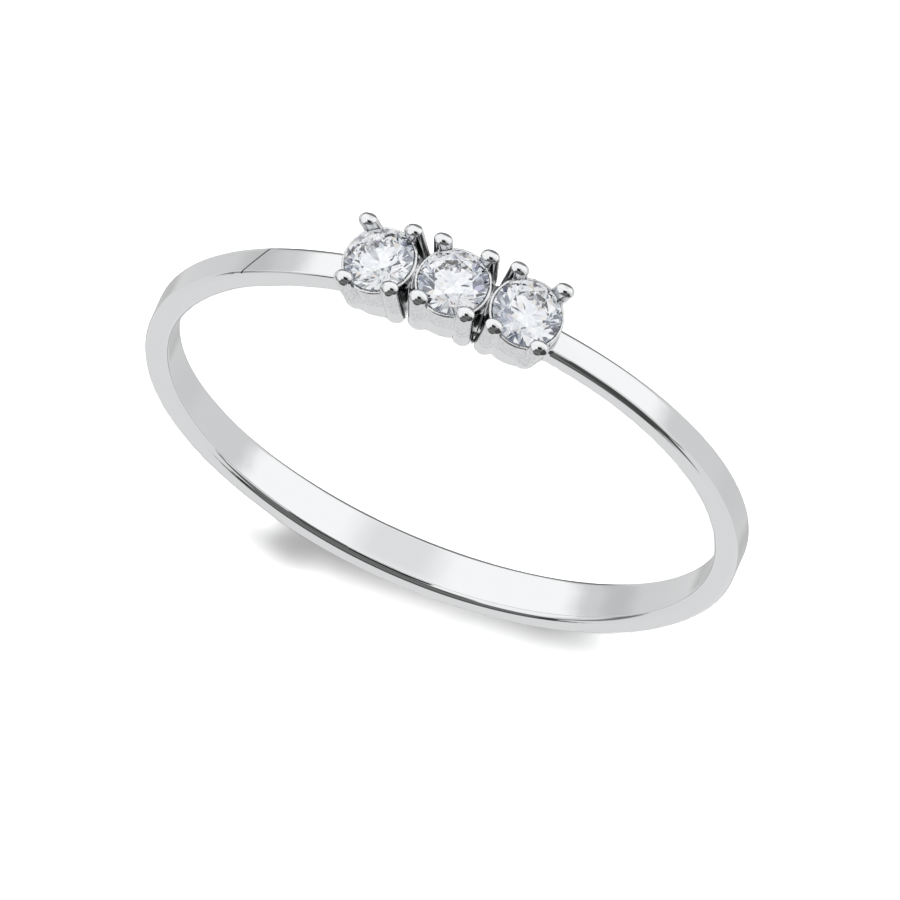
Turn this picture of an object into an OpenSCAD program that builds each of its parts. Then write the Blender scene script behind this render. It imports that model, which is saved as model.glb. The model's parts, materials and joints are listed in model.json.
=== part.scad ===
// Three-stone ring lying on its side.
// A slim polished band narrows towards three round brilliant-cut stones, each in its own
// four-claw setting. The band and the settings are soldered into one piece of metal.
// The finger hole runs along Z with its middle at the origin, the stones face -Y, and the
// row of stones runs along X.

/* [Band] */
// Diameter of the finger hole
finger_hole_d = 16.5; // [14:0.1:21]
// Thickness of the band between finger and outside
band_thickness = 0.7; // [0.6:0.05:1]
// Width of the band at the back of the finger
band_width_back = 1.4; // [1:0.05:2]
// Width of the band under the stones
band_width_front = 0.85; // [0.7:0.05:1]
// Bevel along the edges of the band
band_bevel = 0.08; // [0.04:0.01:0.12]

/* [Stones] */
// Diameter of each stone at its girdle
stone_d = 2; // [1.8:0.05:2.2]
// Angle between neighbouring stones around the finger
stone_step = 13; // [12.5:0.1:15]
// Height of the girdle above the outside of the band
girdle_above_band = 0.81; // [0.8:0.01:1]
// Thickness of the girdle as a share of the stone's diameter
girdle_share = 0.02; // [0.01:0.005:0.03]
// Width of the table as a share of the stone's diameter
table_share = 0.57; // [0.52:0.01:0.62]
// Height of the crown as a share of the stone's diameter
crown_share = 0.155; // [0.13:0.005:0.17]
// Depth of the pavilion as a share of the stone's diameter
pavilion_share = 0.43; // [0.41:0.005:0.44]
// Clearance between a stone and its setting
stone_gap = 0.02; // [0.01:0.005:0.03]

/* [Settings] */
// Thickness of a claw
claw_d = 0.56; // [0.5:0.01:0.6]
// Distance of a claw's tip from the middle of its stone, along the row
claw_along = 0.71; // [0.68:0.01:0.76]
// Distance of a claw's tip from the middle of its stone, across the row
claw_across = 1.03; // [0.98:0.01:1.08]
// Angle at which the claws spread from foot to tip
claw_spread = 2; // [0:0.5:4]
// Height of a claw's shoulder, where its rounded tip starts, above the girdle
claw_shoulder = 0.23; // [0.18:0.01:0.3]
// Height of a claw's rounded tip
claw_tip = 0.14; // [0.1:0.01:0.2]
// Wall of the cup outside the stone
cup_wall = 0.1; // [0.06:0.01:0.12]
// Depth of the cup's rim below the middle of the girdle
rim_below_girdle = 0.03; // [0.02:0.01:0.08]
// Distance of the cups' undersides from the finger
cup_above_finger = 0.26; // [0.15:0.01:0.35]
// Distance of the claws' rounded feet from the finger
claw_above_finger = 0.1; // [0.05:0.01:0.3]
// How much shorter the four claws at the ends of the row are at their feet
end_claw_cut = 0.25; // [0:0.01:0.3]

/* [Hidden] */
$fn = 96;

// Radii counted from the middle of the finger hole
hole_r = finger_hole_d / 2;
band_r = hole_r + band_thickness;
girdle_at = band_r + girdle_above_band;
rim_at = girdle_at - rim_below_girdle;
cup_foot_at = hole_r + cup_above_finger;
shoulder_at = girdle_at + claw_shoulder;

// The band's two side faces lean in towards the stones
band_half_mid = (band_width_back + band_width_front) / 4;
face_tilt = atan((band_width_back - band_width_front) / 2 / (2 * band_r));
reach = 2 * band_r;

// Stone, measured from the middle of its girdle along its own axis
stone_r = stone_d / 2;
table_r = stone_r * table_share;
half_girdle = stone_d * girdle_share / 2;
table_z = half_girdle + stone_d * crown_share;
culet_z = -half_girdle - stone_d * pavilion_share;
fold = 8;
turn = 360 / fold;
half_turn = turn / 2;
star_r = stone_r * 0.8;
lower_r = stone_r * 0.24;
star_z = table_z + (half_girdle - table_z) * (star_r * cos(half_turn) - table_r) / (stone_r - table_r);
lower_z = culet_z + (-half_girdle - culet_z) * lower_r * cos(half_turn) / stone_r;

claw_r = claw_d / 2;
claw_foot = hole_r + claw_above_finger + claw_r;
tip_ball_r = (claw_r * claw_r + claw_tip * claw_tip) / (2 * claw_tip);

// Points of one ring of facet corners
function corners(radius, height, first, count) =
    [for (i = [0 : count - 1])
        [radius * cos(first + i * 360 / count), radius * sin(first + i * 360 / count), height]];

// Puts children on the setting at an angle around the finger, with their +Z pointing outwards
module at_setting(angle) {
    rotate([0, 0, angle]) rotate([90, 0, 0]) children();
}

// Everything below one side face of the band, with that face's two bevels
module below_face(half_width) {
    inner_corner = hole_r + band_bevel;
    outer_corner = band_r - band_bevel;
    rotate_extrude()
        polygon([
            [0, -reach],
            [0, half_width - inner_corner],
            [inner_corner, half_width],
            [outer_corner, half_width],
            [reach, half_width - (reach - outer_corner)],
            [reach, -reach]
        ]);
}

module band() {
    difference() {
        intersection() {
            cylinder(r = band_r, h = 2 * band_width_back, center = true);
            rotate([face_tilt, 0, 0]) below_face(band_half_mid);
            rotate([-face_tilt, 0, 0]) mirror([0, 0, 1]) below_face(band_half_mid);
        }
        cylinder(r = hole_r, h = 2 * band_width_back, center = true);
    }
}

// Half outline of a claw: rounded foot, straight body, and a tip domed above its shoulder
module claw_outline(foot) {
    intersection() {
        union() {
            translate([0, foot]) circle(r = claw_r);
            translate([0, foot]) square([claw_r, shoulder_at - foot]);
            intersection() {
                translate([0, shoulder_at - claw_r]) square([claw_r, claw_r + claw_tip]);
                translate([0, shoulder_at + claw_tip - tip_ball_r]) circle(r = tip_ball_r);
            }
        }
        square([stone_d, reach]);
    }
}

module claw(foot) {
    rotate_extrude() claw_outline(foot);
}

// Four claws around one stone, spreading outwards from foot to tip
module claws(side) {
    for (x = [-1, 1], y = [-1, 1])
        translate([x * claw_along, y * claw_across, shoulder_at])
            rotate([-y * claw_spread, x * claw_spread, 0])
                translate([0, 0, -shoulder_at])
                    claw(x == side ? claw_foot + end_claw_cut : claw_foot);
}

// Hollow for one stone: the stone's round outline with clearance all round
module stone_pocket() {
    wide = stone_r + stone_gap;
    translate([0, 0, girdle_at])
        rotate_extrude()
            polygon([
                [0, culet_z - 2 * stone_gap],
                [wide, -half_girdle - stone_gap],
                [wide, half_girdle + stone_gap],
                [table_r + stone_gap, table_z + 2 * stone_gap],
                [0, table_z + 2 * stone_gap]
            ]);
}

module cup() {
    translate([0, 0, hole_r]) cylinder(r = stone_r + cup_wall, h = rim_at - hole_r);
}

// Three cups, hollowed underneath so that they stay clear of the finger
module cups() {
    difference() {
        for (side = [-1 : 1]) at_setting(side * stone_step) cup();
        cylinder(r = cup_foot_at, h = 4 * stone_d, center = true);
    }
}

module settings() {
    cups();
    for (side = [-1 : 1]) at_setting(side * stone_step) claws(side);
}

module band_with_settings() {
    color("silver")
        difference() {
            union() {
                band();
                settings();
            }
            for (side = [-1 : 1]) at_setting(side * stone_step) stone_pocket();
        }
}

// Round brilliant: table, stars, kites, upper halves, girdle, lower halves and pavilion mains
module brilliant() {
    points = concat(
        corners(table_r, table_z, 0, fold),
        corners(star_r, star_z, half_turn, fold),
        corners(stone_r, half_girdle, 0, 2 * fold),
        corners(stone_r, -half_girdle, 0, 2 * fold),
        corners(lower_r, lower_z, half_turn, fold),
        [[0, 0, culet_z]]
    );
    table = 0;
    star = fold;
    upper = 2 * fold;
    lower = 4 * fold;
    pavilion = 6 * fold;
    culet = 7 * fold;
    polyhedron(
        points = points,
        faces = concat(
            [[for (i = [fold - 1 : -1 : 0]) table + i]],
            [for (i = [0 : fold - 1]) let (n = (i + 1) % fold)
                [table + i, table + n, star + i]],
            [for (i = [0 : fold - 1]) let (p = (i + fold - 1) % fold)
                [table + i, star + i, upper + 2 * i, star + p]],
            [for (i = [0 : fold - 1])
                [star + i, upper + 2 * i + 1, upper + 2 * i]],
            [for (i = [0 : fold - 1]) let (n = (i + 1) % fold)
                [star + i, upper + 2 * n, upper + 2 * i + 1]],
            [for (i = [0 : 2 * fold - 1]) let (n = (i + 1) % (2 * fold))
                [upper + i, upper + n, lower + n, lower + i]],
            [for (i = [0 : fold - 1])
                [pavilion + i, lower + 2 * i, lower + 2 * i + 1]],
            [for (i = [0 : fold - 1]) let (n = (i + 1) % fold)
                [pavilion + i, lower + 2 * i + 1, lower + 2 * n]],
            [for (i = [0 : fold - 1]) let (p = (i + fold - 1) % fold)
                [culet, pavilion + p, lower + 2 * i, pavilion + i]]
        )
    );
}

module set_stone(side) {
    color("azure") at_setting(side * stone_step) translate([0, 0, girdle_at]) brilliant();
}

module stone_left() { set_stone(-1); }
module stone_centre() { set_stone(0); }
module stone_right() { set_stone(1); }

band_with_settings();
stone_left();
stone_centre();
stone_right();
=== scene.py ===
# Three-stone cubic zirconia ring: polished metal, round brilliants, and a plain studio.
import json
import math

import bmesh
import bpy
import numpy as np
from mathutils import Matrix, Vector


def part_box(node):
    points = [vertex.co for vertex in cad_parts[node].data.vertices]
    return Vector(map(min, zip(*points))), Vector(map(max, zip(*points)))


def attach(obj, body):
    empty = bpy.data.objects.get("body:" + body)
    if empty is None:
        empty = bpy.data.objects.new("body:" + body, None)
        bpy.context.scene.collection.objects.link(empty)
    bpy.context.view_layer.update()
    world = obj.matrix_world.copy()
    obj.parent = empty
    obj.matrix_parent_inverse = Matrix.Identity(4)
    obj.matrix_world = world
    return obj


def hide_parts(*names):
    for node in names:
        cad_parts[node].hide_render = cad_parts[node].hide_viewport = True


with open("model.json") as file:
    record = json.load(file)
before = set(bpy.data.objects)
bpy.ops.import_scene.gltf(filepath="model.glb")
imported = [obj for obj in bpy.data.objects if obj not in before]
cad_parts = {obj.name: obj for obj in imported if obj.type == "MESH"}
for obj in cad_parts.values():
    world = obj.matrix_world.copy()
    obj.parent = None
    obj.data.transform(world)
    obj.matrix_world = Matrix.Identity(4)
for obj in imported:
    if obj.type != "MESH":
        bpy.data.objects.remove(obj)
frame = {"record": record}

import openvdb
from bpy.props import FloatProperty, FloatVectorProperty, IntProperty, PointerProperty, StringProperty
from mathutils import Matrix, Vector

bl_info = {
    "name": "Three-stone ring",
    "version": (1, 0, 0),
    "blender": (4, 5, 0),
    "location": "3D View > Sidebar > Ring",
    "description": "Builds the finished looks of a three-stone ring around its packed model",
    "category": "Object",
}

MM = 0.001

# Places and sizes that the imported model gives
METAL_NODE = "band_with_settings"
STONE_NODES = ("stone_left", "stone_centre", "stone_right")
MOUNT = frame["record"]["mounts"][0]
HOLE_R = MOUNT["dims"]["r_mm"] * MM
METAL_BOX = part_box(METAL_NODE)
STONE_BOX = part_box("stone_centre")
SIDE_STONE_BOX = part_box("stone_right")
SIDE_STONE_MIDDLE = (SIDE_STONE_BOX[0] + SIDE_STONE_BOX[1]) / 2
STONE_R = STONE_BOX[1].z
TABLE_AT = -STONE_BOX[0].y
CULET_AT = -STONE_BOX[1].y
FLOOR_Z = METAL_BOX[0].z


# Small helpers for colours, nodes and meshes

def linear(hex_colour):
    """Turns an sRGB hex colour such as 'E8E8EA' into linear red, green, blue and alpha."""
    parts = [int(hex_colour[i:i + 2], 16) / 255 for i in (0, 2, 4)]
    curve = [c / 12.92 if c <= 0.04045 else ((c + 0.055) / 1.055) ** 2.4 for c in parts]
    return (*curve, 1.0)


def add_node(tree, kind, inputs=None, links=None, **settings):
    """Adds a node, sets its properties and input values, and links its inputs from other sockets."""
    made = tree.nodes.new(kind)
    for name, value in settings.items():
        setattr(made, name, value)
    for name, value in (inputs or {}).items():
        made.inputs[name].default_value = value
    for name, source in (links or {}).items():
        tree.links.new(source, made.inputs[name])
    return made


def new_object(name, data):
    """Puts a mesh, camera or light into the scene as an object at the origin."""
    made = bpy.data.objects.new(name, data)
    bpy.context.scene.collection.objects.link(made)
    return made


def new_sheet(name, corners):
    """Puts one flat four-sided sheet into the scene."""
    mesh = bpy.data.meshes.new(name)
    mesh.from_pydata(corners, [], [(0, 1, 2, 3)])
    return new_object(name, mesh)


def new_material(name):
    """A new material and the shader of its surface."""
    material = bpy.data.materials.new(name)
    material.use_nodes = True
    return material, material.node_tree.nodes["Principled BSDF"]


def cut_away(bm, point, away, near):
    """Cuts off what lies beyond a plane, and gives the cut's edges. Near is the plane's tolerance."""
    made = bmesh.ops.bisect_plane(
        bm, geom=bm.verts[:] + bm.edges[:] + bm.faces[:], dist=near,
        plane_co=point, plane_no=away, clear_outer=True)
    return [e for e in made["geom_cut"] if isinstance(e, bmesh.types.BMEdge)]


def finished_mesh(name, bm):
    """Turns the faces outwards and makes a mesh of them."""
    bmesh.ops.recalc_face_normals(bm, faces=bm.faces[:])
    mesh = bpy.data.meshes.new(name)
    bm.to_mesh(mesh)
    bm.free()
    return mesh


def direction(azimuth, elevation):
    """Direction towards a place round the ring: azimuth 0 is the stones' side, 90 is +X."""
    return Vector((
        math.sin(azimuth) * math.cos(elevation),
        -math.cos(azimuth) * math.cos(elevation),
        math.sin(elevation)))


def azimuth_of(tree, parts):
    """The azimuth of a place or direction that a node has split into X, Y and Z."""
    front = add_node(tree, "ShaderNodeMath", {1: -1.0}, {0: parts.outputs["Y"]}, operation="MULTIPLY")
    return add_node(
        tree, "ShaderNodeMath", links={0: parts.outputs["X"], 1: front.outputs["Value"]},
        operation="ARCTAN2").outputs["Value"]


# Sizes and colours that a user would change

class BandSizes(bpy.types.PropertyGroup):
    thickness: FloatProperty(
        name="Thickness", description="Thickness of the band between finger and outside",
        default=0.72 * MM, unit="LENGTH", precision=6)
    width_back: FloatProperty(
        name="Width at back", description="Width of the band at the back of the finger",
        default=1.42 * MM, unit="LENGTH", precision=6)
    width_side: FloatProperty(
        name="Width at side", description="Width of the band halfway to the stones",
        default=1.1 * MM, unit="LENGTH", precision=6)
    width_front: FloatProperty(
        name="Width at stones", description="Width of the band under the stones",
        default=0.86 * MM, unit="LENGTH", precision=6)
    corner: FloatProperty(
        name="Corner radius", description="Rounding of the band's four long edges",
        default=0.18 * MM, unit="LENGTH", precision=6)
    filed_corner: FloatProperty(
        name="Filed corner radius", description="Rounding of the edges along the shoulder filed flat",
        default=0.07 * MM, unit="LENGTH", precision=6)
    cut_angle: FloatProperty(
        name="Shoulder angle", description="Angle from the middle stone at which the plain band starts",
        default=math.radians(25), unit="ROTATION")
    rings: IntProperty(
        name="Rings", description="Number of cross sections along the plain band", default=480)
    arc_points: IntProperty(
        name="Corner points", description="Points around each rounded corner", default=8)
    flat_points: IntProperty(
        name="Flat points", description="Points across each flat side of the band", default=3)


class SettingSizes(bpy.types.PropertyGroup):
    """Sizes of the cups and claws. The upper claws are the ones towards +Z."""
    cup_wall: FloatProperty(
        name="Cup wall", description="Wall of a cup outside its stone",
        default=0.1 * MM, unit="LENGTH", precision=6)
    cup_foot: FloatProperty(
        name="Cup foot", description="Distance of the cups' undersides from the finger",
        default=0.15 * MM, unit="LENGTH", precision=6)
    rim_drop: FloatProperty(
        name="Rim drop", description="Depth of a cup's rim below the middle of the girdle",
        default=0.03 * MM, unit="LENGTH", precision=6)
    claw_thickness: FloatProperty(
        name="Claw thickness", description="Thickness of a claw along the row",
        default=0.57 * MM, unit="LENGTH", precision=6)
    claw_flatness: FloatProperty(
        name="Claw flatness",
        description="How many times thicker a claw is along the row than across it",
        default=1.25)
    claw_along: FloatProperty(
        name="Claw along row",
        description="Distance of a claw's tip from its stone's middle, along the row",
        default=0.71 * MM, unit="LENGTH", precision=6)
    claw_across: FloatProperty(
        name="Claw across row",
        description="Distance of a lower claw's tip from its stone's middle, across the row",
        default=1.03 * MM, unit="LENGTH", precision=6)
    claw_spread: FloatProperty(
        name="Claw spread",
        description="Angle at which most of the claws spread from foot to tip",
        default=math.radians(2), unit="ROTATION")
    upper_claw_in: FloatProperty(
        name="Upper claws in",
        description="How much nearer to the stones the upper claws' tips are",
        default=0.13 * MM, unit="LENGTH", precision=6)
    upper_claw_lean: FloatProperty(
        name="Upper claw lean", description="How far the upper claws lean in over the stones",
        default=math.radians(3), unit="ROTATION")
    lower_claw_rise: FloatProperty(
        name="Lower claw rise", description="How much farther from the finger the lower claws reach",
        default=0.08 * MM, unit="LENGTH", precision=6)
    claw_shoulder: FloatProperty(
        name="Claw shoulder", description="Height above the girdle at which a claw's dome starts",
        default=0.2 * MM, unit="LENGTH", precision=6)
    claw_dome: FloatProperty(
        name="Claw dome", description="Height of the dome on a claw",
        default=0.14 * MM, unit="LENGTH", precision=6)
    tip_lean: FloatProperty(
        name="Tip lean", description="How far the claws' domes face outwards, across the row",
        default=math.radians(5), unit="ROTATION")
    claw_foot: FloatProperty(
        name="Claw foot", description="Distance of the claws' feet from the finger",
        default=0.1 * MM, unit="LENGTH", precision=6)
    end_claw_cut: FloatProperty(
        name="End claw cut", description="How much shorter the claws at the ends of the row are",
        default=0.25 * MM, unit="LENGTH", precision=6)
    end_claw_lean: FloatProperty(
        name="End claw lean", description="How far the claws at the ends of the row lean outwards",
        default=math.radians(10), unit="ROTATION")
    saddle: FloatProperty(
        name="Saddle", description="Height above the band of the metal between two cups",
        default=0.55 * MM, unit="LENGTH", precision=6)
    stone_gap: FloatProperty(
        name="Stone gap", description="Clearance between a stone and its setting",
        default=0.02 * MM, unit="LENGTH", precision=6)
    cell: FloatProperty(
        name="Cell", description="Size of the cells in which the settings are modelled",
        default=0.036 * MM, unit="LENGTH", precision=6)


class StoneSizes(bpy.types.PropertyGroup):
    table: FloatProperty(
        name="Table", description="Width of the table as a share of the stone's diameter",
        default=0.57, subtype="FACTOR")
    girdle: FloatProperty(
        name="Girdle", description="Thickness of the girdle as a share of the stone's diameter",
        default=0.02, subtype="FACTOR")
    crown: FloatProperty(
        name="Crown", description="Height of the crown as a share of the stone's diameter",
        default=0.155, subtype="FACTOR")
    star_reach: FloatProperty(
        name="Star reach",
        description="Distance of the stars' tips from the middle, as a share of the radius",
        default=0.8, subtype="FACTOR")
    lower_reach: FloatProperty(
        name="Lower half reach",
        description="Distance of the lower halves' tips from the middle, as a share of the radius",
        default=0.24, subtype="FACTOR")
    fold: IntProperty(
        name="Fold", description="Number of main facets around the stone", default=8)
    girdle_sides: IntProperty(
        name="Girdle sides", description="Sides that draw the round girdle", default=96)
    turns: FloatVectorProperty(
        name="Turns", description="How far each stone is turned in its setting, left to right",
        default=(math.radians(8), math.radians(0), math.radians(14)), size=3, unit="ROTATION")


class StageSizes(bpy.types.PropertyGroup):
    azimuth: FloatProperty(
        name="Camera azimuth", description="Angle of the camera round the ring, from the stones' side",
        default=math.radians(-9.494), unit="ROTATION")
    elevation: FloatProperty(
        name="Camera elevation", description="Angle of the camera above the floor",
        default=math.radians(24.948), unit="ROTATION")
    roll: FloatProperty(
        name="Camera roll", description="Turn of the picture about the line of sight",
        default=math.radians(-156.106), unit="ROTATION")
    picture_width: FloatProperty(
        name="Picture width", description="Real width that the picture shows",
        default=25.316 * MM, unit="LENGTH", precision=6)
    picture_shift: FloatVectorProperty(
        name="Picture shift", description="Middle of the picture from the ring's middle, right and down",
        default=(0.0796 * MM, 0.3603 * MM), size=2, unit="LENGTH", precision=6)
    camera_distance: FloatProperty(
        name="Camera distance", description="Distance of the camera from the ring",
        default=0.2, unit="LENGTH")
    floor_width: FloatProperty(
        name="Floor width", description="Width of the floor", default=1.2, unit="LENGTH")
    floor_colour: StringProperty(
        name="Floor colour", description="Colour of the floor, as sRGB hex", default="E2E2E2")
    tent_light: FloatProperty(
        name="Tent light", description="Brightness of the white tent's walls", default=0.76)


class RingSettings(bpy.types.PropertyGroup):
    band: PointerProperty(type=BandSizes)
    setting: PointerProperty(type=SettingSizes)
    stone: PointerProperty(type=StoneSizes)
    stage: PointerProperty(type=StageSizes)


# Distances to the metal's surface, below zero inside the metal

# Rounding of the cups' rims and undersides, of the claws' tips and of the stones' seats
EDGE = 0.05 * MM
CUP_FOOT_EDGE = 0.12 * MM
TIP_EDGE = 0.03 * MM
SEAT_EDGE = 0.02 * MM
# Fillets of the claws at the cups' rims and at the band, of neighbouring cups at their rims and
# lower down, and of the cups on the band
FILLET_HIGH = 0.05 * MM
FILLET_LOW = 0.1 * MM
SADDLE_RIM = 0.1 * MM
SADDLE_FILLET = 0.42 * MM
BAND_FILLET = 0.15 * MM
# Blob of solder between two cups: angle from the middle stone in degrees, distance from the
# finger's middle, height, and radius
SOLDER_AT = (-6.5, 8.38 * MM, 0.8 * MM)
SOLDER_R = 0.1 * MM


def blend_min(a, b, width):
    """Joins two shapes with a fillet of about that width."""
    near = np.maximum(width - np.abs(a - b), 0) / width
    return np.minimum(a, b) - near * near * width / 4


def blend_max(a, b, width):
    """Keeps what two shapes share, with a rounded edge of about that width."""
    return -blend_min(-a, -b, width)


def stone_angles():
    """Angles of the three stones around the finger, from -X on."""
    step = math.atan2(SIDE_STONE_MIDDLE.x, -SIDE_STONE_MIDDLE.y)
    return -step, 0, step


def stone_heights(stone):
    """Heights of the girdle and of a brilliant's levels, counted from the girdle's middle."""
    half_girdle = STONE_R * stone.girdle
    table = half_girdle + 2 * STONE_R * stone.crown
    girdle_at = TABLE_AT - table
    return girdle_at, half_girdle, table, CULET_AT - girdle_at


# Angles in degrees, from the middle stone towards +X, over which the band's upper edges turn
# crisp, stay crisp and turn round again
FILED_SHOULDER = (5, 15, 40, 46)


def corner_radius(x, y, up, band):
    """Rounding of the band's edges, crisp along the upper edges of one shoulder. Up is 1 on the
    upper side and 0 on the lower."""
    turn = np.degrees(np.arctan2(x, -y))
    filed = np.interp(turn, FILED_SHOULDER, (0, 1, 1, 0)) * up
    return band.corner + (band.filed_corner - band.corner) * filed


def band_half_width(along, band):
    """Half the band's width, from -1 at the stones through 0 at the sides to 1 at the back."""
    lean = (band.width_back - band.width_front) / 2
    bow = (band.width_back + band.width_front) / 2 - band.width_side
    return (band.width_side + lean * along + bow * along * along) / 2


def band_distance(points, band):
    """Distance to the band, a rounded bar bent round the finger."""
    x, y, z = points
    corner = corner_radius(x, y, z > 0, band)
    half_width = band_half_width(y / (HOLE_R + band.thickness), band)
    across = np.abs(np.hypot(x, y) - HOLE_R - band.thickness / 2) - band.thickness / 2 + corner
    upwards = np.abs(z) - half_width + corner
    outside = np.hypot(np.maximum(across, 0), np.maximum(upwards, 0))
    return outside + np.minimum(np.maximum(across, upwards), 0) - corner


def local_place(points, angle):
    """Place as seen from one setting: along the row, across it, and away from the finger."""
    x, y, z = points
    along = x * math.cos(angle) + y * math.sin(angle)
    out = x * math.sin(angle) - y * math.cos(angle)
    return along, z, out


def cup_distance(points, angle, sizes, rim_at):
    """Distance to one cup, round outside, with its underside hollowed to clear the finger."""
    along, across, out = local_place(points, angle)
    wall = np.hypot(along, across) - STONE_R - sizes.cup_wall
    cup = blend_max(wall, out - rim_at, EDGE)
    from_finger = HOLE_R + sizes.cup_foot - np.hypot(points[0], points[1])
    return np.maximum(blend_max(cup, from_finger, CUP_FOOT_EDGE), -out)


def claw_distance(points, angle, side, end, sizes, girdle_at):
    """Distance to one claw: an oval post with a rounded foot and a low dome for its tip."""
    along, across, out = local_place(points, angle)
    upper = side[1] > 0
    shoulder = girdle_at + sizes.claw_shoulder + (0 if upper else sizes.lower_claw_rise)
    post_r = sizes.claw_thickness / 2
    lean = math.tan(sizes.end_claw_lean if end else sizes.claw_spread)
    tilt = math.tan(-sizes.upper_claw_lean if upper else sizes.claw_spread)
    across_at = sizes.claw_across - (sizes.upper_claw_in if upper else 0)
    along = along * side[0] - sizes.claw_along - (out - shoulder) * lean
    across = (across * side[1] - across_at - (out - shoulder) * tilt) * sizes.claw_flatness
    from_axis = np.hypot(along, across)
    foot_middle = HOLE_R + sizes.claw_foot + post_r + (sizes.end_claw_cut if end else 0)
    below = np.minimum(out - foot_middle, 0)
    post = np.hypot(from_axis, below) - post_r
    dome_r = (post_r ** 2 + sizes.claw_dome ** 2) / (2 * sizes.claw_dome)
    dome_middle = shoulder + sizes.claw_dome - dome_r
    inwards = dome_r * math.sin(sizes.tip_lean)
    above = np.maximum(out - dome_middle, 0)
    dome = np.sqrt(along ** 2 + (across + inwards) ** 2 + above ** 2) - dome_r
    return blend_max(post, dome, TIP_EDGE)


def pocket_distance(points, angle, sizes, stone):
    """Distance to the hollow that one stone needs: its round outline with clearance."""
    along, across, out = local_place(points, angle)
    girdle_at, half_girdle, table, culet = stone_heights(stone)
    gap = sizes.stone_gap
    radius = np.hypot(along, across)
    height = out - girdle_at
    wide = STONE_R + gap
    corners = [
        (0, culet - 2 * gap),
        (wide, -half_girdle - gap),
        (wide, half_girdle + gap),
        (STONE_R * stone.table + gap, table + 2 * gap),
        (0, table + 2 * gap),
    ]
    found = np.full_like(radius, -np.inf)
    for (r0, h0), (r1, h1) in zip(corners, corners[1:]):
        length = math.hypot(r1 - r0, h1 - h0)
        found = np.maximum(found, ((h1 - h0) * (radius - r0) - (r1 - r0) * (height - h0)) / length)
    return found


def metal_distance(points, ring):
    """Distance to the whole metal part: band, cups, claws and solder, less the stones' hollows."""
    sizes, stone = ring.setting, ring.stone
    girdle_at = stone_heights(stone)[0]
    angles = stone_angles()
    rim_at = girdle_at - sizes.rim_drop
    outer = HOLE_R + ring.band.thickness
    radius = np.hypot(points[0], points[1])
    low_down = np.clip((rim_at - radius) / (rim_at - outer), 0, 1)
    fillet = FILLET_HIGH + (FILLET_LOW - FILLET_HIGH) * low_down
    saddle_at = outer + sizes.saddle
    filled = np.clip((rim_at - radius) / (rim_at - saddle_at), 0, 1)
    saddle = SADDLE_RIM + (SADDLE_FILLET - SADDLE_RIM) * filled
    cups = None
    for angle in angles:
        cup = cup_distance(points, angle, sizes, rim_at)
        cups = cup if cups is None else blend_min(cups, cup, saddle)
    metal = blend_min(band_distance(points, ring.band), cups, BAND_FILLET)
    for place, angle in enumerate(angles):
        for along in (-1, 1):
            for across in (-1, 1):
                end = along == place - 1
                claw = claw_distance(points, angle, (along, across), end, sizes, girdle_at)
                metal = blend_min(metal, claw, fillet)
    turn, solder_at, height = SOLDER_AT
    turn = math.radians(turn)
    solder = np.sqrt(
        (points[0] - solder_at * math.sin(turn)) ** 2
        + (points[1] + solder_at * math.cos(turn)) ** 2
        + (points[2] - height) ** 2) - SOLDER_R
    metal = blend_min(metal, solder, FILLET_LOW)
    for angle in angles:
        metal = blend_max(metal, -pocket_distance(points, angle, sizes, stone), SEAT_EDGE)
    return metal


# Step over which the metal's slope is measured, and its least length and least square to divide by
SLOPE_STEP = 0.002 * MM
LEAST_SLOPE = 1e-9
LEAST_STEEP = 0.1


def metal_slope(points, ring):
    """Direction in which the distance to the metal grows fastest."""
    slope = np.empty_like(points)
    for axis in range(3):
        ahead, behind = points.copy(), points.copy()
        ahead[axis] += SLOPE_STEP
        behind[axis] -= SLOPE_STEP
        rise = metal_distance(ahead, ring) - metal_distance(behind, ring)
        slope[axis] = rise / (2 * SLOPE_STEP)
    return slope


def onto_metal(points, ring, rounds=4):
    """Moves points onto the metal's surface."""
    for _ in range(rounds):
        slope = metal_slope(points, ring)
        steep = np.maximum((slope ** 2).sum(0), LEAST_STEEP)
        points = points - metal_distance(points, ring) * slope / steep
    return points


# Band and settings

# Cells beyond the settings, angle between the cut through them and the plain band's first cross
# section, and tolerance of that cut
SPARE_CELLS = 6
SEAM = math.radians(0.5)
ON_CUT = 0.0005 * MM


def settings_mesh(ring):
    """The settings' skin as points and four-sided faces, from cells over the front of the ring."""
    cell = ring.setting.cell
    cut = ring.band.cut_angle
    outer = HOLE_R + ring.band.thickness
    spare = SPARE_CELLS * cell
    low = np.array([-outer * math.sin(cut), METAL_BOX[0].y, METAL_BOX[0].z]) - spare
    high = np.array([outer * math.sin(cut), -HOLE_R * math.cos(cut), METAL_BOX[1].z]) + spare
    counts = np.ceil((high - low) / cell).astype(int)
    axes = [low[i] + cell * np.arange(counts[i]) for i in range(3)]
    cells = np.stack(np.meshgrid(*axes, indexing="ij"))
    distance = metal_distance(cells.reshape(3, -1), ring).reshape(cells.shape[1:])
    grid = openvdb.FloatGrid(1.0)
    grid.copyFromArray((distance / cell).astype(np.float32))
    found, faces = grid.convertToQuads()
    points = low[:, None] + cell * found.T.astype(float)
    return onto_metal(points, ring), faces


def section_points(ring):
    """Outline of the band's cross section, as shares: in or out, up or down, and corner angle."""
    band = ring.band
    outline = []
    corners = [(1, 1, 0), (-1, 1, 90), (-1, -1, 180), (1, -1, 270)]
    for place, (out, up, first) in enumerate(corners):
        for i in range(band.arc_points):
            angle = math.radians(first + 90 * i / (band.arc_points - 1))
            outline.append((out, up, math.cos(angle), math.sin(angle)))
        after = corners[(place + 1) % 4]
        for i in range(1, band.flat_points + 1):
            share = i / (band.flat_points + 1)
            angle = math.radians(first + 90)
            out_there = out + (after[0] - out) * share
            up_there = up + (after[1] - up) * share
            outline.append((out_there, up_there, math.cos(angle), math.sin(angle)))
    return outline


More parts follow.
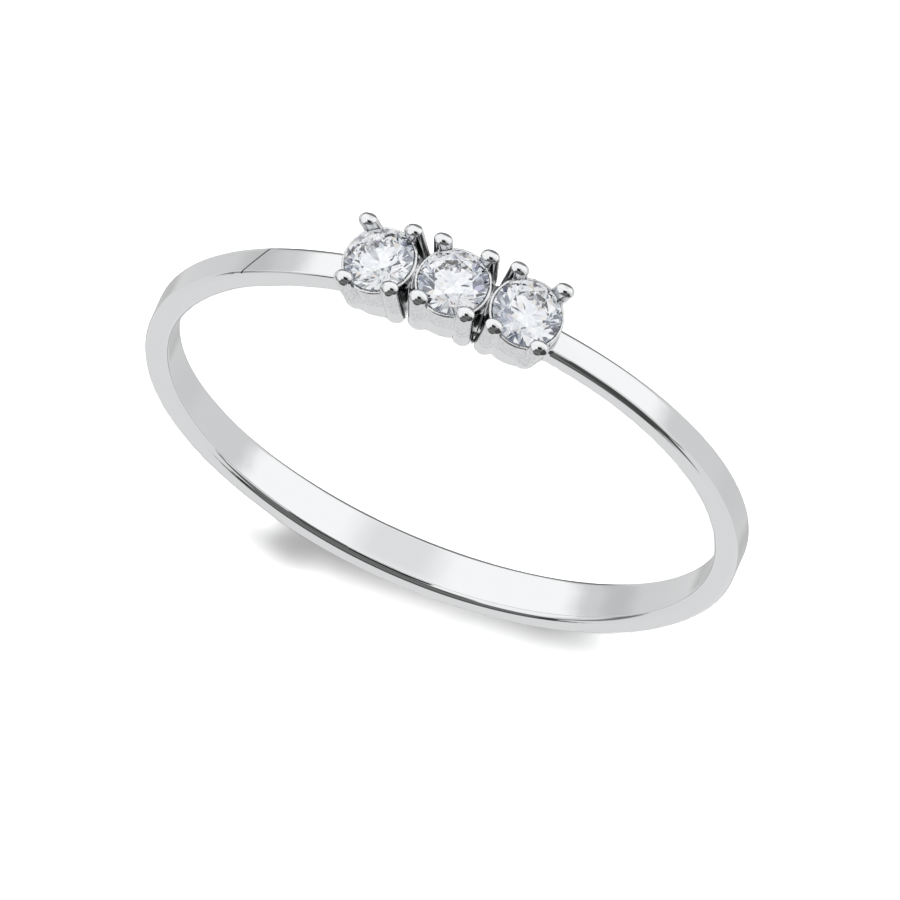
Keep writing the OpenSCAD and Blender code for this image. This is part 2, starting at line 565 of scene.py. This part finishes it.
def band_rings(ring):
    """Cross sections of the plain band, from one shoulder round the back to the other."""
    band = ring.band
    outline = section_points(ring)
    first = band.cut_angle + SEAM
    rings = []
    for i in range(band.rings):
        angle = first + (2 * math.pi - 2 * first) * i / (band.rings - 1)
        half_width = band_half_width(-math.cos(angle), band)
        half_thick = band.thickness / 2
        section = []
        for out, up, across, upwards in outline:
            corner = corner_radius(math.sin(angle), -math.cos(angle), (up + 1) / 2, band)
            radius = HOLE_R + half_thick + out * (half_thick - corner) + across * corner
            height = up * (half_width - corner) + upwards * corner
            section.append((radius * math.sin(angle), -radius * math.cos(angle), height))
        rings.append(section)
    return np.array(rings)


def build_metal(ring):
    """One closed skin: the settings' cells joined to the plain band's cross sections."""
    points, quads = settings_mesh(ring)
    bm = bmesh.new()
    verts = [bm.verts.new(p) for p in points.T]
    for quad in quads:
        bm.faces.new([verts[i] for i in quad])
    cut = ring.band.cut_angle
    shoulder_edges = []
    for side in (1, -1):
        away = Vector((side * math.cos(cut), math.sin(cut), 0))
        shoulder_edges.append(cut_away(bm, (0, 0, 0), away, ON_CUT))
    rings = band_rings(ring)
    count, sides = rings.shape[:2]
    placed = onto_metal(rings.reshape(-1, 3).T, ring).T.reshape(rings.shape)
    rows = [[bm.verts.new(p) for p in section] for section in placed]
    for i in range(count - 1):
        for j in range(sides):
            k = (j + 1) % sides
            bm.faces.new((rows[i][j], rows[i][k], rows[i + 1][k], rows[i + 1][j]))
    for end, edges in zip((rows[0], rows[-1]), shoulder_edges):
        rim = [bm.edges.get((end[j], end[(j + 1) % sides])) for j in range(sides)]
        bmesh.ops.bridge_loops(bm, edges=edges + rim)
    return finished_mesh("band_and_settings", bm)


# Distances over which the room in front of the metal is measured, for the painted shade in the gaps
OPEN_REACHES = (0.12 * MM, 0.25 * MM, 0.4 * MM, 0.6 * MM)
# The cast skin on the cups and posts: how far it reaches from the middle stone, and its soft edge
CAST_REACH = math.radians(22)
CAST_EDGE = 0.05 * MM


def keep_values(mesh, name, values):
    """Stores one number for each corner of a mesh, for its material to read."""
    mesh.attributes.new(name, "FLOAT", "POINT").data.foreach_set("value", values.astype(np.float32))


def shade_metal(mesh, ring):
    """Shades a mesh by the true slope of the metal's surface, and marks how open each place is,
    for the painted shade in the gaps, and where it keeps its cast skin."""
    flat = np.empty(len(mesh.vertices) * 3)
    mesh.vertices.foreach_get("co", flat)
    points = flat.reshape(-1, 3).T.copy()
    slope = metal_slope(points, ring)
    slope /= np.maximum(np.linalg.norm(slope, axis=0), LEAST_SLOPE)
    mesh.shade_smooth()
    mesh.normals_split_custom_set_from_vertices(slope.T)
    # How open each place is; the material paints the gaps dark as shade where it is low
    room = np.zeros(len(mesh.vertices))
    for reach in OPEN_REACHES:
        clear = metal_distance(points + slope * reach, ring) / reach
        room += np.clip(clear, 0, 1) / len(OPEN_REACHES)
    for angle in stone_angles():
        room[pocket_distance(points, angle, ring.setting, ring.stone) < 2 * SEAT_EDGE] = 1
    keep_values(mesh, "open_space", room)
    away = np.hypot(points[0], points[1])
    top = stone_heights(ring.stone)[0] + ring.setting.claw_shoulder
    skin = np.clip((away - HOLE_R - ring.band.thickness) / CAST_EDGE, 0, 1)
    skin *= np.clip((top - away) / CAST_EDGE, 0, 1)
    skin *= np.abs(np.arctan2(points[0], -points[1])) < CAST_REACH
    keep_values(mesh, "cast_skin", skin)


# Colours of the silver in the open and in the gaps, where the darker colour is painted shade, and
# # the gaps' roughness, since the wheel doesn't reach them
POLISHED = "DCDDDE"
PAINTED_GAP_SHADE = "48484A"
UNPOLISHED_ROUGHNESS = 0.3
# Sizes of the waves, haze and pits in the silver's surface, and depth of the waves
WAVE_SIZE = 0.9 * MM
HAZE_SIZE = 0.15 * MM
PIT_SIZE = 0.07 * MM
WAVE_DEPTH = 0.007 * MM
# Painted dark reflection line where the filed shoulder ends: angle from the middle stone, lean per
# # height, half its width, half the width of its darkest part, least distance from the finger's
# # middle, and greatest height
FILED_END = math.radians(41.1)
FILED_END_LEAN = math.radians(6.5) / MM
FILED_END_WIDTH = math.radians(0.35)
FILED_END_CORE = 0.3 * FILED_END_WIDTH
FILED_END_OUT = HOLE_R + 0.45 * MM
FILED_END_TOP = 0.42 * MM


def silver_material():
    """Cast sterling silver, polished and rhodium plated: a cool mirror whose reflections waver
    slightly, because hand polishing leaves the surface not quite true. The gaps between the
    settings, where the wheel doesn't reach, are rougher and painted dark as shade. Faint pits of
    the cast skin show on the cups and posts, and a thin dark line across one shoulder is a painted
    reflection."""
    material, shader = new_material("polished_silver")
    tree = material.node_tree
    place = add_node(tree, "ShaderNodeTexCoord").outputs["Object"]
    waves = add_node(
        tree, "ShaderNodeTexNoise", {"Scale": 1 / WAVE_SIZE, "Detail": 2.0, "Roughness": 0.5},
        {"Vector": place})
    haze = add_node(
        tree, "ShaderNodeTexNoise", {"Scale": 1 / HAZE_SIZE, "Detail": 4.0, "Roughness": 0.6},
        {"Vector": place})
    rough = add_node(
        tree, "ShaderNodeMapRange",
        {"From Min": 0.3, "From Max": 0.7, "To Min": 0.01, "To Max": 0.03},
        {"Value": haze.outputs["Fac"]})
    # How open each place is: the gaps get rougher, and darker as painted shade
    room = add_node(tree, "ShaderNodeAttribute", attribute_name="open_space").outputs["Fac"]
    polished_and_unshaded = add_node(
        tree, "ShaderNodeMapRange", {"From Min": 0.05, "From Max": 0.3}, {"Value": room},
        interpolation_type="SMOOTHSTEP").outputs["Result"]
    dull = add_node(
        tree, "ShaderNodeMix", {2: UNPOLISHED_ROUGHNESS}, {0: polished_and_unshaded, 3: rough.outputs["Result"]},
        data_type="FLOAT")
    tree.links.new(dull.outputs[0], shader.inputs["Roughness"])
    parts = add_node(tree, "ShaderNodeSeparateXYZ", links={"Vector": place})
    # Painted dark reflection line where the filed shoulder ends
    reflection_line_at = add_node(
        tree, "ShaderNodeMath", {1: FILED_END_LEAN, 2: FILED_END}, {0: parts.outputs["Z"]},
        operation="MULTIPLY_ADD")
    apart = add_node(
        tree, "ShaderNodeMath", links={0: azimuth_of(tree, parts), 1: reflection_line_at.outputs["Value"]},
        operation="SUBTRACT")
    away = add_node(tree, "ShaderNodeMath", links={0: apart.outputs["Value"]}, operation="ABSOLUTE")
    on_reflection_line = add_node(
        tree, "ShaderNodeMapRange", {"From Min": FILED_END_WIDTH, "From Max": FILED_END_CORE},
        {"Value": away.outputs["Value"]}, interpolation_type="SMOOTHSTEP")
    far_out = add_node(
        tree, "ShaderNodeVectorMath", {1: direction(FILED_END, 0)}, {0: place}, operation="DOT_PRODUCT")
    outside = add_node(
        tree, "ShaderNodeMath", {1: FILED_END_OUT}, {0: far_out.outputs["Value"]},
        operation="GREATER_THAN")
    below = add_node(
        tree, "ShaderNodeMath", {1: FILED_END_TOP}, {0: parts.outputs["Z"]}, operation="LESS_THAN")
    within = add_node(
        tree, "ShaderNodeMath", links={0: outside.outputs["Value"], 1: below.outputs["Value"]},
        operation="MULTIPLY")
    painted_reflection_line = add_node(
        tree, "ShaderNodeMath", links={0: on_reflection_line.outputs["Result"], 1: within.outputs["Value"]},
        operation="MULTIPLY")
    skin = add_node(tree, "ShaderNodeAttribute", attribute_name="cast_skin").outputs["Fac"]
    pits = add_node(
        tree, "ShaderNodeTexNoise", {"Scale": 1 / PIT_SIZE, "Detail": 2.0, "Roughness": 0.5},
        {"Vector": place})
    pitted = add_node(
        tree, "ShaderNodeMapRange", {"From Min": 0.36, "From Max": 0.7, "To Max": 0.22},
        {"Value": pits.outputs["Fac"]})
    pits_and_painted_line = add_node(
        tree, "ShaderNodeMath", links={0: pitted.outputs["Result"], 1: skin, 2: painted_reflection_line.outputs["Value"]},
        operation="MULTIPLY_ADD")
    # The silver's colour darkens with the painted shade in the gaps, the painted reflection line and the
    # cast pits
    free_of_shade_and_marks = add_node(
        tree, "ShaderNodeMath", links={0: polished_and_unshaded, 1: pits_and_painted_line.outputs["Value"]},
        operation="SUBTRACT", use_clamp=True).outputs["Value"]
    colour = add_node(
        tree, "ShaderNodeMix", {6: linear(PAINTED_GAP_SHADE), 7: linear(POLISHED)}, {0: free_of_shade_and_marks},
        data_type="RGBA")
    tree.links.new(colour.outputs[2], shader.inputs["Base Color"])
    bump = add_node(
        tree, "ShaderNodeBump", {"Strength": 1.0, "Distance": WAVE_DEPTH},
        {"Height": waves.outputs["Fac"]})
    tree.links.new(bump.outputs["Normal"], shader.inputs["Normal"])
    shader.inputs["Metallic"].default_value = 1.0
    return material


class RING_OT_metal(bpy.types.Operator):
    """Make the band with its settings"""
    bl_idname = "ring.metal"
    bl_label = "Band and settings"

    def execute(self, context):
        ring = context.scene.ring
        mesh = build_metal(ring)
        shade_metal(mesh, ring)
        piece = new_object("silver_band_with_settings", mesh)
        mesh.materials.append(silver_material())
        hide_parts(METAL_NODE)
        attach(piece, "root")
        return {"FINISHED"}


# Stones

def polar(radius, angle, height):
    """Point at a radius and angle round the stone's axis."""
    return Vector((radius * math.cos(angle), radius * math.sin(angle), height))


def facet_planes(stone):
    """Every facet's plane, as three points on it, worked out tier by tier."""
    half_girdle, table, culet = stone_heights(stone)[1:]
    table_r = STONE_R * stone.table
    star_r = STONE_R * stone.star_reach
    lower_r = STONE_R * stone.lower_reach
    turn = 2 * math.pi / stone.fold
    half = turn / 2
    crown_slope = (half_girdle - table) / (STONE_R - table_r)
    star_height = table + crown_slope * (star_r * math.cos(half) - table_r)
    lower_height = culet + (-half_girdle - culet) * lower_r * math.cos(half) / STONE_R
    planes = [(polar(1, 0, table), polar(1, turn, table), polar(1, 2 * turn, table))]
    for i in range(stone.fold):
        main = i * turn
        sideways = polar(1, main + math.pi / 2, 0)
        kite_low = polar(STONE_R, main, half_girdle)
        kite_high = polar(table_r, main, table)
        planes.append((kite_high, kite_low, kite_low + sideways))
        next_high = polar(table_r, main + turn, table)
        planes.append((kite_high, next_high, polar(star_r, main + half, star_height)))
        pavilion = polar(STONE_R, main, -half_girdle)
        planes.append((Vector((0, 0, culet)), pavilion, pavilion + sideways))
        for beside in (main - half, main + half):
            star_tip = polar(star_r, beside, star_height)
            planes.append((kite_low, polar(STONE_R, beside, half_girdle), star_tip))
            lower_tip = polar(lower_r, beside, lower_height)
            planes.append((pavilion, polar(STONE_R, beside, -half_girdle), lower_tip))
    return planes


# Depth of the rough cylinder as a share of the stone's diameter, tolerance of the cuts, and size
# of the marks that polishing leaves
ROUGH_DEPTH = 1.2
ON_FACET = 1e-8
MARK_SIZE = 0.12 * MM


def cut_brilliant(name, stone):
    """Cuts a round brilliant facet by facet from a cylinder, as a cutter would."""
    bm = bmesh.new()
    bmesh.ops.create_cone(
        bm, cap_ends=True, segments=stone.girdle_sides, radius1=STONE_R, radius2=STONE_R,
        depth=2 * STONE_R * ROUGH_DEPTH)
    for a, b, c in facet_planes(stone):
        away = (b - a).cross(c - a).normalized()
        if away.dot(a) < 0:
            away = -away
        rim = cut_away(bm, a, away, ON_FACET)
        if rim:
            bmesh.ops.contextual_create(bm, geom=rim)
    mesh = finished_mesh(name, bm)
    mesh.shade_flat()
    return mesh


def zirconia_material():
    """Cubic zirconia, cut and polished: water clear, with a much higher index than glass, so its
    facets mirror the light tent strongly and throw it back broken up. The lap leaves marks too
    fine to see, which soften the facets' mirrors unevenly."""
    material, shader = new_material("cubic_zirconia")
    tree = material.node_tree
    shader.inputs["Base Color"].default_value = linear("FDFEFF")
    shader.inputs["Transmission Weight"].default_value = 1.0
    place = add_node(tree, "ShaderNodeTexCoord").outputs["Object"]
    marks = add_node(
        tree, "ShaderNodeTexNoise", {"Scale": 1 / MARK_SIZE, "Detail": 3.0}, {"Vector": place})
    polish = add_node(
        tree, "ShaderNodeMapRange", {"From Min": 0.4, "From Max": 0.7, "To Min": 0.0, "To Max": 0.004},
        {"Value": marks.outputs["Fac"]})
    tree.links.new(polish.outputs["Result"], shader.inputs["Roughness"])
    shader.inputs["IOR"].default_value = 2.16
    return material


class RING_OT_stones(bpy.types.Operator):
    """Cut the three stones and set them"""
    bl_idname = "ring.stones"
    bl_label = "Stones"

    def execute(self, context):
        stone = context.scene.ring.stone
        girdle_at = stone_heights(stone)[0]
        material = zirconia_material()
        for node, angle, turn in zip(STONE_NODES, stone_angles(), stone.turns):
            mesh = cut_brilliant(node, stone)
            place = (
                Matrix.Rotation(angle, 4, "Z") @ Matrix.Rotation(math.radians(90), 4, "X")
                @ Matrix.Translation((0, 0, girdle_at)) @ Matrix.Rotation(turn, 4, "Z"))
            mesh.transform(place)
            mesh.materials.append(material)
            piece = new_object(node.replace("stone", "brilliant"), mesh)
            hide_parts(node)
            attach(piece, "root")
        return {"FINISHED"}


# Stage

def build_camera(stage):
    """Camera from the fit to the photograph: so far away that its lines of sight are parallel."""
    data = bpy.data.cameras.new("camera")
    data.type = "ORTHO"
    data.ortho_scale = stage.picture_width
    data.clip_start = 0.001
    data.clip_end = 10.0
    camera = new_object("camera", data)
    back = direction(stage.azimuth, stage.elevation)
    level_right = Vector((math.cos(stage.azimuth), math.sin(stage.azimuth), 0))
    level_up = back.cross(level_right)
    right = level_right * math.cos(stage.roll) + level_up * math.sin(stage.roll)
    up = back.cross(right)
    middle = right * stage.picture_shift[0] - up * stage.picture_shift[1]
    camera.matrix_world = Matrix.Translation(middle + back * stage.camera_distance) @ Matrix(
        (right, up, back)).transposed().to_4x4()
    bpy.context.scene.camera = camera


def build_floor(stage):
    """Plain pale floor under the ring."""
    half = stage.floor_width / 2
    corners = [(-half, -half, 0), (half, -half, 0), (half, half, 0), (-half, half, 0)]
    floor = new_sheet("floor", corners)
    floor.location.z = FLOOR_Z
    material, shader = new_material("matt_floor")
    shader.inputs["Base Color"].default_value = linear(stage.floor_colour)
    shader.inputs["Roughness"].default_value = 1.0
    shader.inputs["Specular IOR Level"].default_value = 0.0
    floor.data.materials.append(material)
    floor.visible_glossy = False
    floor.visible_transmission = False


# Panels and openings of the light tent, each in front of the last, in degrees. Straight ones have
# the azimuth of their middle, half their width, lowest and highest elevation and soft edge, round
# ones the azimuth and elevation of their middle, radius and soft edge. Brightness comes last.
TENT_PANELS = (
    ("floor_far", 0, 180, -90, -10, 4, 0.69),
    ("floor_left", -145, 22, -60, -10, 8, 0.64),
    ("floor_near", -6.5, 74.5, -90, -8, 7, 1.06),
    ("floor_dip", -9, 17, -48, -14, 9, 0.83),
    ("floor_right", 90, 8, -48, -12, 6, 0.58),
    ("floor_shade", 118, 33, -90, -46, 3, 0.2),
    ("under_ring", 0, 180, -90, -62, 8, 0.22),
    ("right_strip", 93, 9, 5, 60, 5, 0.2),
    ("front_opening", 15, 25, 43, 66, 3, 0.15),
    ("soft_box", 13, 19, -8, 38, 1.5, 1.0),
    ("soft_box_side", 50, 18, -8, 52, 3, 1.0),
    ("far_floor", 170.5, 28, -40, -8, 6, 0.5),
    ("opening_edge", -54.5, 60, 42, 1.5, 0.03),
    ("opening", -54.5, 60, 38, 1.5, 0.17),
    ("camera", -9.5, 11, 20.5, 29.5, 1.5, 0.02),
    ("side_edge", -92.5, 2.5, 14, 62, 1.5, 0.03),
    ("side_wall", -137.5, 42.5, -10, 62, 1.5, 0.77),
    ("ceiling_edge", 0, 180, 57, 90, 1.5, 0.03),
    ("far_edge", 170.5, 62, 18.5, 1.5, 0.03),
    ("ceiling", 0, 90, 29, 1.5, 0.17),
    ("far_opening", 170.5, 62, 15.5, 1.5, 0.08),
)
# Values in a straight panel's row, without its name and brightness
STRAIGHT_VALUES = 5
# Straight panel that only the metal mirrors: dark cloth round the camera
CLOTH_PLACE = (-9.5, 18, 10, 36, 1.5)
CLOTH_BRIGHTNESS = 0.02
# The metal sees the tent this much brighter, because plated silver gives back about seven tenths
TENT_GAIN = 1.2
# Cells per unit of direction, and least and most light, of the broken light seen through a stone
SPARKLE_SCALE = 7.0
SPARKLE_RANGE = (0.25, 1.15)
# What a stone throws back for each brightness of the tent. Zirconia splits light into colours, so
# the borders between bright and dark turn violet and amber.
STONE_COLOURS = (
    (0.0, "1A1E30"),
    (0.1, "5C647E"),
    (0.15, "B9C1CD"),
    (0.24, "CED5DF"),
    (0.3, "A8A1C8"),
    (0.35, "EADFD1"),
    (0.42, "E2E7EE"),
    (0.55, "F3F5F8"),
    (0.8, "FDFDFE"),
    (1.0, "FFFFFF"),
)


def inside_straight(tree, azimuth, elevation, *degrees):
    """How far a direction is inside a panel with straight sides: 1 within, 0 without."""
    middle, wide, low, high, soft = [math.radians(value) for value in degrees]
    above = add_node(
        tree, "ShaderNodeMapRange", {"From Min": low - soft, "From Max": low + soft},
        {"Value": elevation}, interpolation_type="SMOOTHSTEP")
    below = add_node(
        tree, "ShaderNodeMapRange", {"From Min": high + soft, "From Max": high - soft},
        {"Value": elevation}, interpolation_type="SMOOTHSTEP")
    between = add_node(
        tree, "ShaderNodeMath", links={0: above.outputs["Result"], 1: below.outputs["Result"]},
        operation="MULTIPLY")
    if wide >= math.pi:
        return between.outputs["Value"]
    apart = add_node(tree, "ShaderNodeMath", {1: middle}, {0: azimuth}, operation="SUBTRACT")
    turned = add_node(
        tree, "ShaderNodeMath", {1: math.pi, 2: -math.pi}, {0: apart.outputs["Value"]}, operation="WRAP")
    across = add_node(tree, "ShaderNodeMath", links={0: turned.outputs["Value"]}, operation="ABSOLUTE")
    beside = add_node(
        tree, "ShaderNodeMapRange", {"From Min": wide + soft, "From Max": wide - soft},
        {"Value": across.outputs["Value"]}, interpolation_type="SMOOTHSTEP")
    inside = add_node(
        tree, "ShaderNodeMath", links={0: between.outputs["Value"], 1: beside.outputs["Result"]},
        operation="MULTIPLY")
    return inside.outputs["Value"]


def inside_round(tree, look, *degrees):
    """How far a direction is inside a round panel: 1 within, 0 without."""
    azimuth, elevation, radius, soft = [math.radians(value) for value in degrees]
    near = add_node(
        tree, "ShaderNodeVectorMath", {1: direction(azimuth, elevation)}, {0: look},
        operation="DOT_PRODUCT")
    apart = add_node(tree, "ShaderNodeMath", links={0: near.outputs["Value"]}, operation="ARCCOSINE")
    inside = add_node(
        tree, "ShaderNodeMapRange", {"From Min": radius + soft, "From Max": radius - soft},
        {"Value": apart.outputs["Value"]}, interpolation_type="SMOOTHSTEP")
    return inside.outputs["Result"]


def build_tent(stage):
    """White light tent with dark openings, for the metal to mirror and the stones to break up."""
    world = bpy.data.worlds.new("light_tent")
    bpy.context.scene.world = world
    world.use_nodes = True
    tree = world.node_tree
    background = tree.nodes["Background"]
    look = add_node(tree, "ShaderNodeTexCoord").outputs["Generated"]
    parts = add_node(tree, "ShaderNodeSeparateXYZ", links={"Vector": look})
    elevation = add_node(
        tree, "ShaderNodeMath", links={0: parts.outputs["Z"]}, operation="ARCSINE").outputs["Value"]
    azimuth = azimuth_of(tree, parts)
    light = add_node(tree, "ShaderNodeValue").outputs["Value"]
    light.default_value = stage.tent_light
    for name, *place, brightness in TENT_PANELS:
        if len(place) == STRAIGHT_VALUES:
            inside = inside_straight(tree, azimuth, elevation, *place)
        else:
            inside = inside_round(tree, look, *place)
        mixed = add_node(
            tree, "ShaderNodeMix", {3: brightness}, {0: inside, 2: light}, data_type="FLOAT",
            label=name)
        light = mixed.outputs[0]
    in_cloth = inside_straight(tree, azimuth, elevation, *CLOTH_PLACE)
    cloth = add_node(
        tree, "ShaderNodeMix", {3: CLOTH_BRIGHTNESS}, {0: in_cloth, 2: light}, data_type="FLOAT",
        label="cloth")
    cells = add_node(tree, "ShaderNodeTexVoronoi", {"Scale": SPARKLE_SCALE}, {"Vector": look})
    uneven = add_node(
        tree, "ShaderNodeMapRange", {"To Min": SPARKLE_RANGE[0], "To Max": SPARKLE_RANGE[1]},
        {"Value": cells.outputs["Color"]})
    broken = add_node(
        tree, "ShaderNodeMath", links={0: light, 1: uneven.outputs["Result"]}, operation="MULTIPLY")
    in_stone = add_node(tree, "ShaderNodeValToRGB", links={"Fac": broken.outputs["Value"]})
    scale = in_stone.color_ramp.elements
    for stop, (place, colour) in zip((scale[0], scale[1]), (STONE_COLOURS[0], STONE_COLOURS[-1])):
        stop.position = place
        stop.color = linear(colour)
    for place, colour in STONE_COLOURS[1:-1]:
        scale.new(place).color = linear(colour)
    through = add_node(tree, "ShaderNodeLightPath").outputs["Is Transmission Ray"]
    on_metal = add_node(
        tree, "ShaderNodeMath", {1: TENT_GAIN}, {0: cloth.outputs[0]}, operation="MULTIPLY")
    seen = add_node(
        tree, "ShaderNodeMix",
        links={0: through, 6: on_metal.outputs["Value"], 7: in_stone.outputs["Color"]},
        data_type="RGBA")
    tree.links.new(seen.outputs[2], background.inputs["Color"])
    background.inputs["Strength"].default_value = 1.0


# Cards close to the stones, which only the metal mirrors: four corners in mm, and brightness
CARDS = (
    ("white_card", ((-6, -16, -1.3), (6, -16, -1.3), (6, -10.3, -1.3), (-6, -10.3, -1.3)), 1.25),
    ("black_flag", ((-9, -15, 2.2), (-9, -3, 2.2), (-9, -3, 15), (-9, -15, 15)), 0.08),
)


def build_cards():
    """A white card under the stones and a black flag beside them, for the claws' tips to mirror."""
    for name, corners, brightness in CARDS:
        card = new_sheet(name, [[value * MM for value in corner] for corner in corners])
        material, shader = new_material(name)
        shader.inputs["Base Color"].default_value = (0, 0, 0, 1)
        shader.inputs["Specular IOR Level"].default_value = 0.0
        shader.inputs["Emission Color"].default_value = (1, 1, 1, 1)
        shader.inputs["Emission Strength"].default_value = brightness
        card.data.materials.append(material)
        card.visible_camera = False
        card.visible_diffuse = False
        card.visible_transmission = False
        card.visible_shadow = False


# Low light from beside the camera, which throws the band's soft shadow on the floor behind it:
# azimuth and elevation, width as an angle, and strength
LOW_LIGHT_TOWARDS = (math.radians(-8), math.radians(14.5))
LOW_LIGHT_WIDTH = math.radians(9)
LOW_LIGHT_STRENGTH = 11.4
# Flat beams along the camera's line of sight, which whiten the floor and hide their own shadows,
# and leave the band's shadow as a slim strip: middle right of and above the ring's middle, width
# and height, in mm, and spread in degrees
FLAT_BEAMS = (
    ("inside_ring", 1.94, 4.73, 28, 17.4, 1.8),
    ("inside_left", -5.97, -1.01, 3, 2.6, 2.2),
    ("beyond_middle", -1.43, -8.61, 7.9, 8, 2.2),
    ("beyond_left", -8.87, -6.54, 8, 8, 3.0),
    ("beyond_right", 6.08, -11.36, 8, 8, 2.2),
    ("right_end", 7.6, -7.26, 8, 2.6, 4.0),
    ("left_end", -9.9, -1.4, 8, 2.6, 7.0),
)
# The beams' turn about the line of sight, distance from the ring's middle, and power per square
# metre
FLAT_BEAM_TURN = math.radians(-18.2)
FLAT_BEAM_DISTANCE = 30 * MM
FLAT_BEAM_POWER = 8.2


def add_light(name, data, place):
    """Puts a light in the scene, unseen by the camera, by mirrors and through glass."""
    light = new_object(name, data)
    light.matrix_world = place
    light.visible_camera = False
    light.visible_glossy = False
    light.visible_transmission = False


def build_lights():
    """The low light and the flat beams that light the floor."""
    low = bpy.data.lights.new("low_light", "SUN")
    low.energy = LOW_LIGHT_STRENGTH
    low.angle = LOW_LIGHT_WIDTH
    towards = direction(*LOW_LIGHT_TOWARDS).to_track_quat("Z", "Y")
    add_light("low_light", low, towards.to_matrix().to_4x4())
    seen_from = bpy.context.scene.camera.matrix_world.to_3x3()
    right, up, back = seen_from.col
    turned = seen_from.to_4x4() @ Matrix.Rotation(FLAT_BEAM_TURN, 4, "Z")
    for name, *place, spread in FLAT_BEAMS:
        across, above, wide, high = [value * MM for value in place]
        beam = bpy.data.lights.new(name, "AREA")
        beam.shape = "RECTANGLE"
        beam.size, beam.size_y = wide, high
        beam.spread = math.radians(spread)
        beam.energy = FLAT_BEAM_POWER * wide * high
        middle = right * across + up * above + back * FLAT_BEAM_DISTANCE
        add_light(name, beam, Matrix.Translation(middle) @ turned)


# Light turns back many times inside a stone before it leaves
STONE_BOUNCES = 16


class RING_OT_stage(bpy.types.Operator):
    """Set up the camera, the floor, the light tent, the cards and the lights"""
    bl_idname = "ring.stage"
    bl_label = "Stage"

    def execute(self, context):
        stage = context.scene.ring.stage
        build_camera(stage)
        build_floor(stage)
        build_tent(stage)
        build_cards()
        build_lights()
        context.scene.view_settings.view_transform = "Standard"
        context.scene.cycles.glossy_bounces = STONE_BOUNCES
        context.scene.cycles.max_bounces = STONE_BOUNCES
        return {"FINISHED"}


class RING_PT_panel(bpy.types.Panel):
    bl_label = "Three-stone ring"
    bl_idname = "RING_PT_panel"
    bl_space_type = "VIEW_3D"
    bl_region_type = "UI"
    bl_category = "Ring"

    def draw(self, context):
        for step in STEPS:
            self.layout.operator(step.bl_idname)


STEPS = (RING_OT_stage, RING_OT_metal, RING_OT_stones)
CLASSES = (BandSizes, SettingSizes, StoneSizes, StageSizes, RingSettings, *STEPS, RING_PT_panel)


def register():
    for made in CLASSES:
        bpy.utils.register_class(made)
    bpy.types.Scene.ring = PointerProperty(type=RingSettings)


def unregister():
    del bpy.types.Scene.ring
    for made in reversed(CLASSES):
        bpy.utils.unregister_class(made)


def main():
    """Builds every piece."""
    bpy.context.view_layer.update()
    register()
    bpy.ops.ring.stage()
    bpy.ops.ring.metal()
    bpy.ops.ring.stones()
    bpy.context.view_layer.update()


if __name__ == "__main__":
    main()
